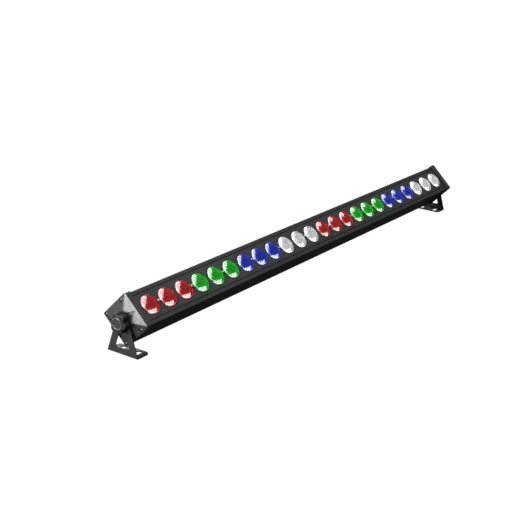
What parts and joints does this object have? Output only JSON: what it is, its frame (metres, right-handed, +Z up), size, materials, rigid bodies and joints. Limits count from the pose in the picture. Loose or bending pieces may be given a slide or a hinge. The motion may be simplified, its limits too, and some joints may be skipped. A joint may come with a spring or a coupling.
{
  "type": "led strip batten",
  "caption": "Square-section stage light bar with one row of coloured domed lenses, faceted end caps, and a tilting A-shaped stand clamped at each end by a lobed knob.",
  "frame": {"origin": "on the floor, under the tilt axis, midway between the two stands", "axes": "+X along the bar towards the end whose last lenses are white; +Z up; -Y is the side the lenses lean towards"},
  "size_m": [1.0404, 0.0846, 0.0958],
  "materials": {
    "housing": "satin",
    "panel": "satin",
    "lens_red": "gloss",
    "lens_green": "gloss",
    "lens_blue": "gloss",
    "lens_white": "gloss",
    "holder": "gloss",
    "emitter": "gloss",
    "circuit_board": "satin",
    "spreader": "satin",
    "end_cap": "satin",
    "gasket": "matte",
    "bright_screw": "polished",
    "black_screw": "satin",
    "stand": "satin",
    "bolt": "satin",
    "friction_disc": "matte",
    "knob": "satin",
    "insert": "satin",
    "knob_ring": "polished",
    "knob_disc": "gloss",
    "control_plate": "satin",
    "window": "gloss",
    "button": "satin",
    "socket": "satin",
    "contact": "polished",
    "latch": "satin",
    "component": "satin",
    "pillar": "satin",
    "loom": "matte"
  },
  "bodies": {
    "stand_left": {"stand_left": "stand"},
    "bar": {"housing": "housing", "front_panel": "panel", "red_lenses_left": "lens_red", "red_lenses_right": "lens_red", "green_lenses_left": "lens_green", "green_lenses_right": "lens_green", "blue_lenses_left": "lens_blue", "blue_lenses_right": "lens_blue", "white_lenses_left": "lens_white", "white_lenses_right": "lens_white", "lens_holders": "holder", "led_emitters": "emitter", "panel_pillars": "pillar", "led_board_left": "circuit_board", "led_board_right": "circuit_board", "heat_spreader": "spreader", "panel_screws": "bright_screw", "cap_screws": "black_screw", "rear_screws": "black_screw", "friction_discs": "friction_disc", "end_cap_left": "end_cap", "cap_gasket_left": "gasket", "pivot_bolt_left": "bolt", "end_cap_right": "end_cap", "cap_gasket_right": "gasket", "pivot_bolt_right": "bolt", "mains_inlet": "socket", "mains_inlet_blades": "contact", "mains_outlet": "socket", "data_inlet": "socket", "data_inlet_pins": "contact", "data_outlet": "socket", "data_outlet_insert": "socket", "control_plate": "control_plate", "display_window": "window", "display_board": "circuit_board", "power_supply_board": "circuit_board", "driver_board": "circuit_board", "board_pillars": "pillar", "power_supply_components": "component", "driver_components": "component", "wiring_loom": "loom"},
    "stand_right": {"stand_right": "stand"},
    "washer_left": {"knob_washer_left": "bolt"},
    "knob_left": {"knob_grip_left": "knob", "knob_insert_left": "insert", "knob_ring_left": "knob_ring", "knob_disc_left": "knob_disc"},
    "washer_right": {"knob_washer_right": "bolt"},
    "knob_right": {"knob_grip_right": "knob", "knob_insert_right": "insert", "knob_ring_right": "knob_ring", "knob_disc_right": "knob_disc"},
    "button_menu": {"button_menu": "button"},
    "button_up": {"button_up": "button"},
    "button_down": {"button_down": "button"},
    "button_enter": {"button_enter": "button"},
    "data_latch": {"data_latch": "latch"},
    "fuse_drawer": {"fuse_drawer": "socket"}
  },
  "joints": [
    {"name": "bar_tilt", "type": "hinge", "parent": "stand_left", "child": "bar", "pos_m": [0, 0, 0.0536], "axis": [1, 0, 0], "continuous": true},
    {"name": "stand_right_tilt", "type": "hinge", "parent": "bar", "child": "stand_right", "pos_m": [0, 0, 0.0536], "axis": [1, 0, 0], "continuous": true},
    {"name": "washer_left_slide", "type": "slide", "parent": "bar", "child": "washer_left", "axis": [-1, 0, 0], "range_m": [0, 0.0025]},
    {"name": "knob_left_turn", "type": "hinge", "parent": "washer_left", "child": "knob_left", "pos_m": [0, 0, 0.0536], "axis": [-1, 0, 0], "range_deg": [0, 720]},
    {"name": "washer_right_slide", "type": "slide", "parent": "bar", "child": "washer_right", "axis": [1, 0, 0], "range_m": [0, 0.0025]},
    {"name": "knob_right_turn", "type": "hinge", "parent": "washer_right", "child": "knob_right", "pos_m": [0, 0, 0.0536], "axis": [1, 0, 0], "range_deg": [0, 720]},
    {"name": "button_menu_press", "type": "slide", "parent": "bar", "child": "button_menu", "axis": [0, -0.6884, 0.7254], "range_m": [0, 0.0008], "stiffness_N_per_m": 400, "springref_m": -0.0005},
    {"name": "button_up_press", "type": "slide", "parent": "bar", "child": "button_up", "axis": [0, -0.6884, 0.7254], "range_m": [0, 0.0008], "stiffness_N_per_m": 400, "springref_m": -0.0005},
    {"name": "button_down_press", "type": "slide", "parent": "bar", "child": "button_down", "axis": [0, -0.6884, 0.7254], "range_m": [0, 0.0008], "stiffness_N_per_m": 400, "springref_m": -0.0005},
    {"name": "button_enter_press", "type": "slide", "parent": "bar", "child": "button_enter", "axis": [0, -0.6884, 0.7254], "range_m": [0, 0.0008], "stiffness_N_per_m": 400, "springref_m": -0.0005},
    {"name": "latch_press", "type": "slide", "parent": "bar", "child": "data_latch", "axis": [0, -0.6884, 0.7254], "range_m": [0, 0.001], "stiffness_N_per_m": 400, "springref_m": -0.0005},
    {"name": "fuse_drawer_slide", "type": "slide", "parent": "bar", "child": "fuse_drawer", "axis": [0, 0.6884, -0.7254], "range_m": [0, 0.015]}
  ],
  "couplings": [
    {"joint": "stand_right_tilt", "follows": "bar_tilt", "ratio": -1},
    {"joint": "knob_left_turn", "follows": "washer_left_slide", "rad_per_m": 5026.5},
    {"joint": "knob_right_turn", "follows": "washer_right_slide", "rad_per_m": 5026.5}
  ]
}
